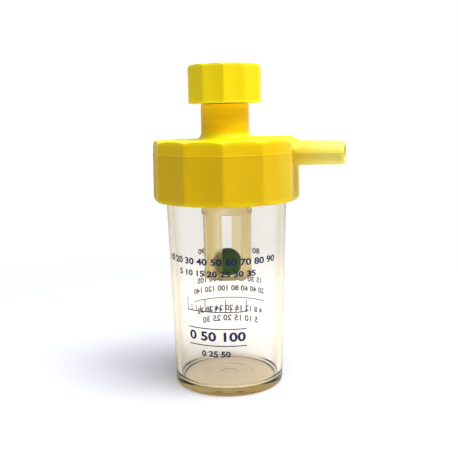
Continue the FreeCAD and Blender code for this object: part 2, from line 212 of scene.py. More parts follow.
thread_foot = THREAD_TOP - THREAD_PITCH * THREAD_TURNS - THREAD_ROOT
jar_outline = run_of([
    (0, 0),
    (JAR_FOOT_RADIUS, 0, 1.2),
    (JAR_SHOULDER_RADIUS, JAR_SHOULDER, 0.15),
    (JAR_NECK_RADIUS, JAR_SHOULDER + SHOULDER_RISE, 0.15, 0.16),
    (JAR_NECK_RADIUS, JAR_RIM, 0.3),
    (JAR_SHOULDER_RADIUS - JAR_WALL, JAR_RIM, 0.3),
    (JAR_SHOULDER_RADIUS - JAR_WALL, JAR_SHOULDER),
    (JAR_FOOT_RADIUS - JAR_WALL, JAR_FLOOR, 2.5),
    (MOULD_RING, JAR_FLOOR, 0.08),
    (MOULD_RING, JAR_FLOOR - MARK_STEP, 0.08),
    (GATE_RADIUS, JAR_FLOOR - MARK_STEP, 0.08),
    (GATE_RADIUS, JAR_FLOOR - 2 * MARK_STEP, 0.08),
    (0, JAR_FLOOR - 2 * MARK_STEP),
])
jar_grid = turned(jar_outline, JAR_COLUMNS)
on_neck = np.abs(jar_outline[:, 0] - JAR_NECK_RADIUS) < 1e-6
ridge = helix_ridge(jar_grid, thread_foot, THREAD_TURNS, THREAD_PITCH, THREAD_ROOT, THREAD_CREST)
jar = build("clear_jar", pushed_out(jar_grid, ridge * on_neck[:, None] * THREAD_DEPTH))

# Polysulfone: clear, with an amber cast that grows in the floor and, as in glass, where the wall
# slants away, so the edges look beige and the foot golden brown. Its mirror is kept weak. Shadow
# and diffuse rays pass it, so that the lamps and the room light what is behind the wall.
tree = material_for(jar, name="clear amber polysulfone")
place = add(tree, "TexCoord", {})
facing = add(tree, "LayerWeight", {"Blend": 0.5})
slant = add(tree, "MapRange", {"Value": facing.outputs["Facing"], "From Min": 0.45, "From Max": 0.95})
split = add(tree, "SeparateXYZ", {"Vector": place.outputs["Object"]})
base = add(tree, "MapRange", {
    "Value": split.outputs["Z"],
    "From Min": (JAR_FLOOR - 0.3) * MM,
    "From Max": (JAR_FLOOR + 0.3) * MM,
    "To Min": 0.4,
    "To Max": 0.0,
})
share = add(tree, "Math", {0: slant.outputs["Result"], 1: base.outputs["Result"]}, operation="MAXIMUM")
cast = add(tree, "MixRGB", {
    "Fac": share.outputs["Value"],
    "Color1": linear("#FBFBFD"),
    "Color2": linear("#D4C07C"),
})
waves = add(tree, "TexNoise", {"Vector": place.outputs["Object"], "Scale": 1 / (9 * MM), "Detail": 1.0})
ripple = add(tree, "Bump", {"Height": waves.outputs["Fac"], "Strength": 0.05, "Distance": 0.3 * MM})
clear = add(tree, "BsdfPrincipled", {
    "Base Color": cast.outputs["Color"],
    "Roughness": 0.02,
    "IOR": 1.62,
    "Specular Tint": (0.4, 0.4, 0.4, 1),
    "Transmission Weight": 1.0,
    "Normal": ripple.outputs["Normal"],
})
lets_light_through = add(tree, "BsdfTransparent", {"Color": linear("#F6F1E6")})
path = add(tree, "LightPath", {})
unseen = add(tree, "Math", {
    0: path.outputs["Is Shadow Ray"],
    1: path.outputs["Is Diffuse Ray"],
}, operation="MAXIMUM")
either = add(tree, "MixShader", {
    0: unseen.outputs["Value"],
    1: clear.outputs["BSDF"],
    2: lets_light_through.outputs["BSDF"],
})
amber = add(tree, "VolumeAbsorption", {"Color": (0.62, 0.46, 0.0, 1), "Density": 48.0})
add(tree, "OutputMaterial", {"Surface": either.outputs["Shader"], "Volume": amber.outputs["Volume"]})

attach(jar, "jar")
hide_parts("jar")

# Print on the jar
# Scales screen printed on the outside of the wall in navy ink, one in front and one behind: rows
# of plain numbers, a ruler and thin rules. Each print is a film of ink that follows the wall.

INK_OFF, INK_THICK, INK_LINE, INK_SPREAD = 0.04, 0.03, 0.4, 0.03
BAR_STEP = 3
FRONT, BEHIND = -72.8, 107.2
RULE_FIRST, RULE_LAST = FRONT - 43, FRONT + 17.5
RULER_FOOT, SHORT_TICK, LONG_TICK, TICK_HALF = 35.0, 37.5, 40.0, 0.4


def number_row(words, first, last, foot, top):
    """Row of characters between two angles in degrees and two heights.

    Returns vertices (angle, height, 0 on the inner side to 1 on the outer) and triangles of
    closed characters, stretched to fill the row.
    """
    curve = bpy.data.curves.new("characters", "FONT")
    curve.body = words
    curve.extrude = 0.5
    curve.offset = INK_SPREAD
    curve.resolution_u = 3
    holder = bpy.data.objects.new("characters", curve)
    bpy.context.scene.collection.objects.link(holder)
    bpy.context.view_layer.update()
    seen = holder.evaluated_get(bpy.context.evaluated_depsgraph_get())
    mesh = bpy.data.meshes.new_from_object(seen)
    mesh.calc_loop_triangles()
    places = np.empty(len(mesh.vertices) * 3)
    mesh.vertices.foreach_get("co", places)
    triangles = np.empty(len(mesh.loop_triangles) * 3, np.int32)
    mesh.loop_triangles.foreach_get("vertices", triangles)
    bpy.data.objects.remove(holder)
    places, same = np.unique(places.reshape(-1, 3).round(5), axis=0, return_inverse=True)
    triangles = same.ravel()[triangles].reshape(-1, 3)
    low, high = places.min(axis=0), places.max(axis=0)
    share = (places - low) / (high - low)
    return share * [last - first, top - foot, 1] + [first, foot, 0], triangles


def bar(first, last, foot, top):
    """Closed box between two angles in degrees and two heights.

    Its four corners repeat at even angles, about BAR_STEP degrees apart, so that it can bend.
    """
    steps = max(1, round((last - first) / BAR_STEP))
    corners = np.array([(foot, 0), (top, 0), (top, 1), (foot, 1)], float)
    rows = [
        np.column_stack([np.full(4, place), corners])
        for place in np.linspace(first, last, steps + 1)
    ]
    quads = [
        (4 * k + i, 4 * k + (i + 1) % 4, 4 * k + 4 + (i + 1) % 4, 4 * k + 4 + i)
        for k in range(steps) for i in range(4)
    ]
    quads += [(3, 2, 1, 0), (4 * steps, 4 * steps + 1, 4 * steps + 2, 4 * steps + 3)]
    quads = np.array(quads)
    return np.concatenate(rows), np.concatenate([quads[:, [0, 1, 2]], quads[:, [0, 2, 3]]])


def rule(first, last, height):
    """Thin line at a height between two angles in degrees."""
    return bar(first, last, height - INK_LINE / 2, height + INK_LINE / 2)


def ink_film(name, marks):
    """One object of all the marks, bent round the jar's drafted wall.

    The radius is the foot's, plus the draft times the height, plus the film's own thickness.
    """
    places, faces, count = [], [], 0
    for vertices, triangles in marks:
        places.append(vertices)
        faces.append(triangles + count)
        count += len(vertices)
    places, faces = np.concatenate(places), np.concatenate(faces)
    inner = (places[faces, 2] < 0.5).all(axis=1)
    angle, height = np.radians(places[:, 0]), places[:, 1]
    draft = (JAR_SHOULDER_RADIUS - JAR_FOOT_RADIUS) / JAR_SHOULDER
    radius = JAR_FOOT_RADIUS + draft * height + INK_OFF + places[:, 2] * INK_THICK
    mesh = bpy.data.meshes.new(name)
    bent = np.column_stack([radius * np.cos(angle), radius * np.sin(angle), height])
    mesh.from_pydata((bent * MM).tolist(), [], faces.tolist())
    mesh.polygons.foreach_set("material_index", inner.astype(np.int32))
    piece = bpy.data.objects.new(name, mesh)
    bpy.context.scene.collection.objects.link(piece)
    return piece


# Each row of characters: its words, first and last angle, foot and top. Each rule: its first and
# last angle and its height.
marks = [
    number_row("10 20 30 40 50 60 70 80 90", FRONT - 70, FRONT + 50, 53.4, 56.2),
    number_row("5 10 15 20 25 30 35", FRONT - 52, FRONT + 27, 48.95, 51.35),
    rule(RULE_FIRST, RULE_LAST, 28.1),
    number_row("0 50 100", FRONT - 41.5, FRONT + 16.5, 23.0, 26.9),
    rule(RULE_FIRST, RULE_LAST, 21.2),
    number_row("0 25 50", FRONT - 28, FRONT + 1.5, 16.6, 19.1),
    rule(RULE_FIRST, RULE_LAST, RULER_FOOT),
]
for number, place in enumerate(np.linspace(RULE_FIRST + 0.5, RULE_LAST - 0.5, 13)):
    tick_top = LONG_TICK if number % 4 == 0 else SHORT_TICK
    marks.append(bar(place - TICK_HALF, place + TICK_HALF, RULER_FOOT, tick_top))
print_front = ink_film("jar_print_front", marks)

print_back = ink_film("jar_print_back", [
    number_row("80", BEHIND - 40, BEHIND - 30, 49.7, 52.3),
    number_row("90", BEHIND + 27, BEHIND + 36, 49.7, 52.3),
    number_row("15 30 45 60 75 90 105", BEHIND - 43, BEHIND + 38.7, 36.6, 39.2),
    number_row("20 40 60 80 100 120 140", BEHIND - 47.5, BEHIND + 45, 32.2, 34.8),
    rule(BEHIND - 47.5, BEHIND + 45.5, 29.1),
    number_row("4 8 12 16 20 24 28 32", BEHIND - 45, BEHIND + 40.5, 23.0, 25.7),
    number_row("5 10 15 20 25 30", BEHIND - 38, BEHIND + 33, 18.3, 21.1),
])


def ink(name, colour, worn):
    """Screen ink: satin, and a little uneven where it was pressed thinner."""
    tree = material_for(print_front, print_back, name=name)
    place = add(tree, "TexCoord", {})
    press = add(tree, "TexNoise", {
        "Vector": place.outputs["Object"],
        "Scale": 1 / (0.8 * MM),
        "Detail": 3.0,
    })
    tone = add(tree, "MixRGB", {
        "Fac": press.outputs["Fac"],
        "Color1": linear(colour),
        "Color2": linear(worn),
    })
    satin = add(tree, "BsdfPrincipled", {
        "Base Color": tone.outputs["Color"],
        "Roughness": 0.5,
        "Specular IOR Level": 0.2,
    })
    add(tree, "OutputMaterial", {"Surface": satin.outputs["BSDF"]})


# The inner side of the ink, which is seen through the wall, looks paler than the outer side.
ink("navy screen ink", "#181E4A", "#252C5C")
ink("navy screen ink from behind", "#5E6886", "#747E98")
for film in (print_front, print_back):
    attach(film, "jar")

# Gasket
# Flat ring punched from black rubber sheet. It lies on the jar's rim under the land of the cap.

GASKET_FOOT, GASKET_TOP = (corner.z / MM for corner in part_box("jar_gasket"))
GASKET_INNER, GASKET_OUTER = 22.5, 25.6


def ring_outline(inner, outer, foot, top, edge=0.12):
    """Rectangle (radius, height) with rounded corners, the section of a flat ring."""
    return run_of([(inner, foot, edge), (outer, foot, edge), (outer, top, edge), (inner, top, edge)],
                  arc_steps=3, closed=True)


gasket_outline = ring_outline(GASKET_INNER, GASKET_OUTER, GASKET_FOOT, GASKET_TOP)
gasket = build("jar_gasket_ring", turned(gasket_outline, 192), ring=True)

# Nitrile rubber: near black and dull, with the fine grain of sheet stock.
rubber_tree = material_for(gasket, name="black nitrile rubber")
place = add(rubber_tree, "TexCoord", {})
grain = add(rubber_tree, "TexNoise", {
    "Vector": place.outputs["Object"],
    "Scale": 1 / (0.4 * MM),
})
tone = add(rubber_tree, "MixRGB", {
    "Fac": grain.outputs["Fac"],
    "Color1": linear("#1C1C1D"),
    "Color2": linear("#2B2A2A"),
})
rough = add(rubber_tree, "Bump", {
    "Height": grain.outputs["Fac"],
    "Strength": 0.3,
    "Distance": 0.05 * MM,
})
matt = add(rubber_tree, "BsdfPrincipled", {
    "Base Color": tone.outputs["Color"],
    "Roughness": 0.75,
    "IOR": 1.52,
    "Normal": rough.outputs["Normal"],
})
add(rubber_tree, "OutputMaterial", {"Surface": matt.outputs["BSDF"]})
black_rubber = gasket.data.materials[0]

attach(gasket, "seal")
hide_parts("jar_gasket")

# Screw cap
# One moulding in yellow polypropylene: fluted skirt, top plate, neck, the boss inside that the
# float cage hangs from, and the hose spigot with the rib that covers its bore on the plate.

CAP_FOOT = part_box("jar_cap")[0].z / MM
NECK_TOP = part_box("jar_cap")[1].z / MM
SPIGOT_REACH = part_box("jar_cap")[1].x / MM
CAP_RADIUS, CAP_TALL, CAP_DRAFT = 30.0, 24.4, math.radians(0.8)
CAP_TOP = CAP_FOOT + CAP_TALL
CAP_BORE, CAP_BORE_TOP = 25.75, GASKET_TOP
CHAMBER_RADIUS, CHAMBER_TOP = 22.5, CAP_TOP - 3.2
NECK_RADIUS, BOSS_RADIUS, DUCT_RADIUS = 9.7, 8.8, 3.0
NIPPLE_BORE, NIPPLE_DEEP = 6.0, 11.0
BOSS_FOOT, FILTER_TOP = (corner.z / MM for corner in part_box("filter_disc"))
FILTER_POCKET = 7.05
SNAP_FOOT, SNAP_TOP, SNAP_RISE = BOSS_FOOT + 3.5, BOSS_FOOT + 5.1, 0.35
SPIGOT_RADIUS, SPIGOT_TIP_RADIUS, SPIGOT_HEIGHT = 4.9, 4.65, CAP_TOP - 5.5
SPIGOT_ROOT, DUCT_START, DUCT_END, DUCT_MOUTH = 24.0, 10.4, 50, 0.35
RIB_RADIUS, RIB_REACH, RIB_SLOPE = 6.8, 27.3, 3.2
RIB_BLEND, RIB_DEEP, RIB_FADE, RIB_SINK = 0.5, 2.5, 1.5, 0.1
UPPER_DRAFT = math.radians(2.0)
PARTING_BEAD, PARTING_HALF, HALVES_STEP = 0.10, 0.3, 0.12
FLUTES, FLUTE_COLUMNS, FLUTE_CROWDING = 12, 30, 0.7
FLUTE_DEPTH, FLUTE_LAND, FLUTE_BLEND = 1.45, 0.8, 0.45


def flute_angles(count, columns, crowding, turn=0.0):
    """Column angles for a fluted grip, closer together at its ridges than in its flutes.

    Within a flute, share t from -1 to 1 goes to t + crowding * sin(pi t) / pi.
    """
    share = (np.arange(columns) + 0.5) / columns * 2 - 1
    share = share + crowding * np.sin(math.pi * share) / math.pi
    middle = np.arange(count)[:, None] * 2 * math.pi / count
    return (middle + share * math.pi / count).ravel() + turn


def flute_radius(angle, radius, depth, land, count, lean=0.0):
    """Distance from the axis of a grip's flutes, each a part of a large cylinder.

    The cylinder meets the grip's circle where two ridge lands end and is deepest between
    them, so its radius is (chord^2 + rise^2) / (2 rise) of half that chord. lean adds to it.
    A ray from the axis meets its near side at c cos(off) - sqrt(r^2 - (c sin(off))^2), where c
    is how far out its centre is and off the angle between the two.
    """
    half_turn = math.pi / count - land / (2 * radius)
    chord = radius * math.sin(half_turn)
    rise = depth - radius * (1 - math.cos(half_turn))
    reach = (chord ** 2 + rise ** 2) / (2 * rise)
    centre = radius - depth + reach
    off = (angle + math.pi / count) % (2 * math.pi / count) - math.pi / count
    return centre * np.cos(off) - np.sqrt((reach + lean) ** 2 - (centre * np.sin(off)) ** 2)


def lesser(a, b, blend):
    """Smooth minimum: where a and b are within blend of each other, a parabola joins them."""
    share = np.clip(0.5 + 0.5 * (b - a) / blend, 0, 1)
    return b + (a - b) * share - blend * share * (1 - share)


def drawn_in(height):
    """How far the skirt has come in: height times tan(draft), and more above the parting line."""
    above = np.maximum(height - SPIGOT_HEIGHT, 0)
    return (height - CAP_FOOT) * math.tan(CAP_DRAFT) + above * math.tan(UPPER_DRAFT)


def skirt(height):
    """Corner of the cap's outline on its skirt."""
    return CAP_RADIUS - drawn_in(height), height


cap_outline = run_of([
    (DUCT_RADIUS, NECK_TOP - NIPPLE_DEEP),
    (NIPPLE_BORE, NECK_TOP - NIPPLE_DEEP, 0.2),
    (NIPPLE_BORE, NECK_TOP, 0.3),
    (NECK_RADIUS, NECK_TOP, 0.5),
    (NECK_RADIUS, CAP_TOP, 3.2, 0.7),
    (*skirt(CAP_TOP), 1.7),
    (*skirt(SPIGOT_HEIGHT + 2 * PARTING_HALF), 0, 0.15),
    (*skirt(SPIGOT_HEIGHT - 2 * PARTING_HALF), 0),
    (*skirt(CAP_FOOT), 2.0),
    (CAP_BORE, CAP_FOOT, 0.3, 0.22),
    (CAP_BORE, CAP_BORE_TOP, 0.15),
    (CHAMBER_RADIUS, CAP_BORE_TOP, 0.15),
    (CHAMBER_RADIUS, CHAMBER_TOP, 0.5),
    (BOSS_RADIUS, CHAMBER_TOP, 0.5),
    (BOSS_RADIUS, SNAP_TOP),
    (BOSS_RADIUS + SNAP_RISE, SNAP_TOP - SNAP_RISE, 0.1),
    (BOSS_RADIUS + SNAP_RISE, SNAP_FOOT + SNAP_RISE, 0.1),
    (BOSS_RADIUS, SNAP_FOOT),
    (BOSS_RADIUS, BOSS_FOOT, 0.2),
    (FILTER_POCKET, BOSS_FOOT, 0.2),
    (FILTER_POCKET, FILTER_TOP, 0.1),
    (DUCT_RADIUS, FILTER_TOP, 0.1),
], reach=2.0, arc_steps=9, closed=True)
cap_grid = turned(cap_outline, flute_angles(FLUTES, FLUTE_COLUMNS, FLUTE_CROWDING))
radius = np.hypot(cap_grid[..., 0], cap_grid[..., 1])
angle = np.arctan2(cap_grid[..., 1], cap_grid[..., 0])
height = cap_grid[..., 2]
outside = (cap_outline[:, 0] > CAP_BORE + 0.5)[:, None]
fluted = flute_radius(angle, CAP_RADIUS, FLUTE_DEPTH, FLUTE_LAND, FLUTES, drawn_in(height))
bead = PARTING_BEAD * eased(1 - np.abs(height - SPIGOT_HEIGHT) / PARTING_HALF)
moved = np.where(outside, lesser(radius, fluted, FLUTE_BLEND) + bead - radius, 0)
in_bore = (np.abs(cap_outline[:, 0] - CAP_BORE) < 1e-6)[:, None]
moved -= in_bore * THREAD_DEPTH * helix_ridge(
    cap_grid, thread_foot - THREAD_PITCH / 2, THREAD_TURNS, THREAD_PITCH, THREAD_ROOT, THREAD_CREST)
cap_grid = pushed_out(cap_grid, moved)

# The rib is a cylinder along the spigot's axis that swells out of the plate and dies off at the
# edge: its height is taken with the plate's as a smooth maximum.
x, y, height = cap_grid[..., 0], cap_grid[..., 1], cap_grid[..., 2]
rib_ends = [RIB_REACH, RIB_REACH + RIB_SLOPE]
rib = np.interp(x, rib_ends, [RIB_RADIUS, SPIGOT_RADIUS])
rib_height = SPIGOT_HEIGHT + np.sqrt(np.maximum(rib ** 2 - y ** 2, 0))
rib_height = np.where((x > 0) & (np.abs(y) < rib), rib_height, SPIGOT_HEIGHT)
raised = -lesser(-height, -rib_height, RIB_BLEND) - height
upper = (cap_outline[:, 1] > CAP_TOP - RIB_DEEP) & (cap_outline[:, 0] > NECK_RADIUS - 2)
cap_grid[..., 2] += raised * upper[:, None] * eased((height - CAP_TOP + RIB_DEEP) / RIB_FADE)
cap = build("yellow_screw_cap", cap_grid, ring=True)

# The spigot tapers for the mould. Its upper half swells into the rib, and its lower half is a
# little smaller, because the two mould halves don't quite meet.
spigot_outline = run_of([
    (0, SPIGOT_ROOT),
    (SPIGOT_RADIUS, SPIGOT_ROOT, 0, 0.5),
    (SPIGOT_RADIUS, RIB_REACH + RIB_SLOPE + 0.5, 0, 1.0),
    (SPIGOT_TIP_RADIUS, SPIGOT_REACH - 1.0, 0.6),
    (SPIGOT_TIP_RADIUS - 0.5, SPIGOT_REACH, 0.25),
    (0, SPIGOT_REACH),
], guard=0.1)
spigot_grid = turned(spigot_outline, 180)
up = spigot_grid[..., 1]
swell = np.interp(spigot_grid[..., 2], rib_ends, [RIB_RADIUS - RIB_SINK - SPIGOT_RADIUS, 0])
moved = swell * eased(up / 1.5) - HALVES_STEP * eased(0.5 - up / 0.2)
moved += PARTING_BEAD * eased(1 - np.abs(up) / PARTING_HALF)
moved = moved * (spigot_outline[:, 0] > 4)[:, None]
spigot_grid = pushed_out(spigot_grid, moved)[..., [2, 0, 1]] + [0, 0, SPIGOT_HEIGHT]
spigot = build("spigot_part", spigot_grid)

bore_outline = run_of([
    (0, DUCT_START),
    (DUCT_RADIUS, DUCT_START),
    (DUCT_RADIUS, SPIGOT_REACH - 0.3),
    (DUCT_RADIUS + DUCT_MOUTH, SPIGOT_REACH + 0.05),
    (DUCT_RADIUS + DUCT_MOUTH, DUCT_END),
    (0, DUCT_END),
])
bore_grid = turned(bore_outline, 64)[..., [2, 0, 1]] + [0, 0, SPIGOT_HEIGHT]
spigot_bore = build("bore_part", bore_grid)


def joined(piece, other, operation):
    """Boolean of two closed meshes, applied to the first; the second is deleted."""
    modifier = piece.modifiers.new(operation, "BOOLEAN")
    modifier.operation = operation
    modifier.solver = "MANIFOLD"
    modifier.object = other
    bpy.context.view_layer.update()
    seen = piece.evaluated_get(bpy.context.evaluated_depsgraph_get())
    mesh = bpy.data.meshes.new_from_object(seen)
    mesh.materials.clear()
    piece.modifiers.clear()
    piece.data = mesh
    bpy.data.objects.remove(other)


joined(cap, spigot, "UNION")
joined(cap, spigot_bore, "DIFFERENCE")
cap.data.set_sharp_from_angle(angle=math.radians(35))


# Along X, in millimetres, the reach over which the cap's yellow is painted paler: a painted glow.
GLOW_FROM_X, GLOW_TO_X = 24, 42
RING_SPACING, RING_FADE = 2.8274, 1.5


def wave_scale(spacing):
    """Scale of a wave texture with bands this many millimetres apart: 2 pi / 20 over spacing."""
    return 2 * math.pi / (20 * spacing * MM)


def yellow_plastic(piece, name, colours_and_painted_light, rings_from):
    """Moulded polypropylene: a warm yellow, satin, and uneven from the flow of the melt.

    The third argument gives its colours at heights in millimetres, the lowest first. Besides
    the yellow they hold painted light: lighter bands where the piece faces up to the lamps or down
    to the table. Towards +X, over the rib and the spigot, the colour is mixed towards pale yellow,
    a painted glow for the light that comes through where the wall gets thinner. Sheen pales it a
    little where it turns away. Above the height rings_from it shows rings from the turned mould:
    the real ones are finer, and they are drawn as coarse as they need to show.
    """
    tree = material_for(piece, name=name)
    place = add(tree, "TexCoord", {})
    split = add(tree, "SeparateXYZ", {"Vector": place.outputs["Object"]})
    foot, top = colours_and_painted_light[0][0], colours_and_painted_light[-1][0]
    share = add(tree, "MapRange", {
        "Value": split.outputs["Z"],
        "From Min": foot * MM,
        "From Max": top * MM,
    })
    colour_and_light_ramp = add(tree, "ValToRGB", {"Fac": share.outputs["Result"]})
    stops = colour_and_light_ramp.color_ramp.elements
    for height, colour in colours_and_painted_light[1:-1]:
        stops.new((height - foot) / (top - foot))
    for stop, (height, colour) in zip(stops, colours_and_painted_light):
        stop.color = linear(colour)
    # Painted light: towards +X, over the rib and the spigot, the yellow is mixed towards pale yellow, a
    # painted glow for the light that comes through the spigot's wall.
    glow_share = add(tree, "MapRange", {
        "Value": split.outputs["X"],
        "From Min": GLOW_FROM_X * MM,
        "From Max": GLOW_TO_X * MM,
        "To Max": 0.8,
    })
    painted_glow = add(tree, "MixRGB", {
        "Fac": glow_share.outputs["Result"],
        "Color1": colour_and_light_ramp.outputs["Color"],
        "Color2": linear("#FFF478"),
    })
    flow = add(tree, "TexNoise", {
        "Vector": place.outputs["Object"],
        "Scale": 1 / (14 * MM),
        "Detail": 3.0,
    })
    shade = add(tree, "MapRange", {"Value": flow.outputs["Fac"], "To Min": 0.93, "To Max": 1.03})
    tone = add(tree, "MixRGB", {
        "Fac": 1.0,
        "Color1": painted_glow.outputs["Color"],
        "Color2": shade.outputs["Result"],
    }, blend_type="MULTIPLY")
    grain = add(tree, "TexNoise", {
        "Vector": place.outputs["Object"],
        "Scale": 1 / (0.35 * MM),
        "Detail": 2.0,
    })
    rings = add(tree, "TexWave", {
        "Vector": place.outputs["Object"],
        "Scale": wave_scale(RING_SPACING),
        "Distortion": 1.0,
        "Detail": 1.0,
        "Detail Scale": 0.2,
    }, wave_type="BANDS", bands_direction="Z")
    ringed = add(tree, "MapRange", {
        "Value": split.outputs["Z"],
        "From Min": rings_from * MM,
        "From Max": (rings_from + RING_FADE) * MM,
    })
    height = add(tree, "Math", {
        0: rings.outputs["Fac"],
        1: ringed.outputs["Result"],
    }, operation="MULTIPLY")
    ring_bump = add(tree, "Bump", {
        "Height": height.outputs["Value"],
        "Strength": 0.8,
        "Distance": 0.10 * MM,
    })
    fine = add(tree, "Bump", {
        "Height": grain.outputs["Fac"],
        "Strength": 0.2,
        "Distance": 0.03 * MM,
        "Normal": ring_bump.outputs["Normal"],
    })
    gloss = add(tree, "MapRange", {"Value": flow.outputs["Fac"], "To Min": 0.38, "To Max": 0.50})
    plastic = add(tree, "BsdfPrincipled", {
        "Base Color": tone.outputs["Color"],
        "Roughness": gloss.outputs["Result"],
        "IOR": 1.49,
        "Specular IOR Level": 0.2,
        "Subsurface Weight": 0.15,
        "Subsurface Radius": (1.0, 0.45, 0.05),
        "Subsurface Scale": 2.5 * MM,
        "Sheen Weight": 0.2,
        "Sheen Roughness": 0.3,
        "Sheen Tint": linear("#FFF078"),
        "Normal": fine.outputs["Normal"],
    })
    add(tree, "OutputMaterial", {"Surface": plastic.outputs["BSDF"]})


# Painted light in these colours: the band at the foot is lighter, painted bounce light from the table;
# the top of the skirt, its rounded edge, the plate and the fillet round the neck are lightest, painted
# light from the lamps above; the neck is lifted, painted light against the shade under the nut. Above
# the parting line the yellow is a little lighter.
yellow_plastic(cap, "yellow polypropylene cap", [
    (CAP_FOOT, "#F6D800"),
    (CAP_FOOT + 1.0, "#F2CE00"),
    (CAP_FOOT + 2.5, "#E8BE00"),
    (SPIGOT_HEIGHT - 0.2, "#E8BE00"),
    (SPIGOT_HEIGHT + 0.2, "#F0C600"),
    (CAP_TOP - 2.0, "#F2C900"),
    (CAP_TOP, "#FFEC00"),
    (CAP_TOP + 2.0, "#FFF000"),
    (CAP_TOP + 4.0, "#FCD000"),
    (NECK_TOP, "#FCD000"),
], CAP_TOP + 3.0)

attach(cap, "head")
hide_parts("jar_cap")

# Float cage
# Slotted tube moulded from natural polypropylene, snapped over the boss of the cap. Its ledge
# holds the valve seat, and its lip keeps the ball from falling out.

CAGE_FOOT, CAGE_TOP = (corner.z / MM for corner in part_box("float_cage"))
SEAT_FOOT, SEAT_TOP = (corner.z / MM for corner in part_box("valve_seat"))
CAGE_FOOT_RADIUS, CAGE_TOP_RADIUS, CAGE_WALL = 10.15, 10.4, 1.5
CAGE_SOCKET, LIP_HOLE, LIP_TALL = 8.85, 4.0, 1.0
LEDGE_FOOT, LEDGE_HOLE = SEAT_FOOT - 2.0, 6.6
WINDOWS, WINDOW_SPAN, WINDOW_TURN = 4, math.radians(51), math.radians(26.5)
WINDOW_LEAN = math.radians(2.5)
WINDOW_FOOT, WINDOW_TALL, WINDOW_CORNER = CAGE_FOOT + 1.8, 24.8, 0.5
CUT_INSIDE, CUT_OUTSIDE = 8.0, 11.0

cage_outline = run_of([
    (LIP_HOLE, CAGE_FOOT, 0.2),
    (CAGE_FOOT_RADIUS, CAGE_FOOT, 0.4),
    (CAGE_TOP_RADIUS, LEDGE_FOOT),
    (CAGE_TOP_RADIUS, CAGE_TOP, 0.2),
    (CAGE_SOCKET, CAGE_TOP, 0.2),
    (CAGE_SOCKET, SNAP_TOP),
    (CAGE_SOCKET + SNAP_RISE, SNAP_TOP - SNAP_RISE),
    (CAGE_SOCKET + SNAP_RISE, SNAP_FOOT + SNAP_RISE),
    (CAGE_SOCKET, SNAP_FOOT),
    (CAGE_SOCKET, SEAT_FOOT, 0.1),
    (LEDGE_HOLE, SEAT_FOOT, 0.1),
    (LEDGE_HOLE, LEDGE_FOOT, 0.1),
    (CAGE_TOP_RADIUS - CAGE_WALL, LEDGE_FOOT, 0.2),
    (CAGE_FOOT_RADIUS - CAGE_WALL, CAGE_FOOT + LIP_TALL, 0.2),
    (LIP_HOLE, CAGE_FOOT + LIP_TALL, 0.2),
], arc_steps=3, closed=True)
cage = build("float_cage_tube", turned(cage_outline, 192), ring=True)


def window_cutter(turn, lean):
    """Wedge with rounded corners that cuts one window.

    Seen from outside it is a rounded rectangle in angle and height. Its section is the same at
    two radii, one inside the wall and one outside it, but turned by lean for each millimetre
    inwards, because the sides of a window follow the way that the mould opens.
    """
    half = WINDOW_SPAN / 2 * CAGE_FOOT_RADIUS
    top = WINDOW_FOOT + WINDOW_TALL
    corners = run_of([
        (-half, WINDOW_FOOT, WINDOW_CORNER),
        (half, WINDOW_FOOT, WINDOW_CORNER),
        (half, top, WINDOW_CORNER),
        (-half, top, WINDOW_CORNER),
    ], arc_steps=4, guard=0.05, reach=1.0, closed=True)
    radius = np.array([CUT_INSIDE, CUT_OUTSIDE])[:, None]
    middle = turn + lean * (CAGE_FOOT_RADIUS - radius)
    angle = corners[:, 0] / CAGE_FOOT_RADIUS + middle
    tall = np.broadcast_to(corners[:, 1], angle.shape)
    loops = np.stack([radius * np.cos(angle), radius * np.sin(angle), tall], axis=2)
    level = np.full_like(radius, tall.mean())
    poles = np.stack([radius * np.cos(middle), radius * np.sin(middle), level], axis=2)
    poles = np.broadcast_to(poles, loops.shape)
    return build("window_part", np.stack([poles[0], loops[0], loops[1], poles[1]]))


for number in range(WINDOWS):
    lean = WINDOW_LEAN * (-1) ** (number + 1)
    joined(cage, window_cutter(WINDOW_TURN + number * 2 * math.pi / WINDOWS, lean), "DIFFERENCE")
cage.data.set_sharp_from_angle(angle=math.radians(35))

# Natural polypropylene: milky beige that lets light and blurred shapes through its thin wall.
tree = material_for(cage, name="natural polypropylene")
place = add(tree, "TexCoord", {})
cloud = add(tree, "TexNoise", {"Vector": place.outputs["Object"], "Scale": 1 / (6 * MM), "Detail": 2.0})
tone = add(tree, "MixRGB", {
    "Fac": cloud.outputs["Fac"],
    "Color1": linear("#FEEEC2"),
    "Color2": linear("#FFF4D2"),
})
soft = add(tree, "Bump", {"Height": cloud.outputs["Fac"], "Strength": 0.1, "Distance": 0.2 * MM})
milky = add(tree, "BsdfPrincipled", {
    "Base Color": tone.outputs["Color"],
    "Roughness": 0.55,
    "IOR": 1.12,
    "Transmission Weight": 0.9,
    "Subsurface Weight": 0.8,
    "Subsurface Radius": (1.0, 0.8, 0.5),
    "Subsurface Scale": 2.0 * MM,
    "Normal": soft.outputs["Normal"],
})
add(tree, "OutputMaterial", {"Surface": milky.outputs["BSDF"]})

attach(cage, "head")
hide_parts("float_cage")

# Filter and valve seat
# A thick disc of white felt sits in the end of the boss; below it a soft silicone ring, clamped
# between the cage's ledge and the boss, is what the ball shuts.

FILTER_RADIUS, SEAT_HOLE, SEAT_CHAMFER = 7.0, 4.0, 0.4

felt = build("felt_filter", turned(run_of([
    (0, BOSS_FOOT),
    (FILTER_RADIUS, BOSS_FOOT, 0.4),
    (FILTER_RADIUS, FILTER_TOP, 0.4),
    (0, FILTER_TOP),
], reach=0.5), 128))

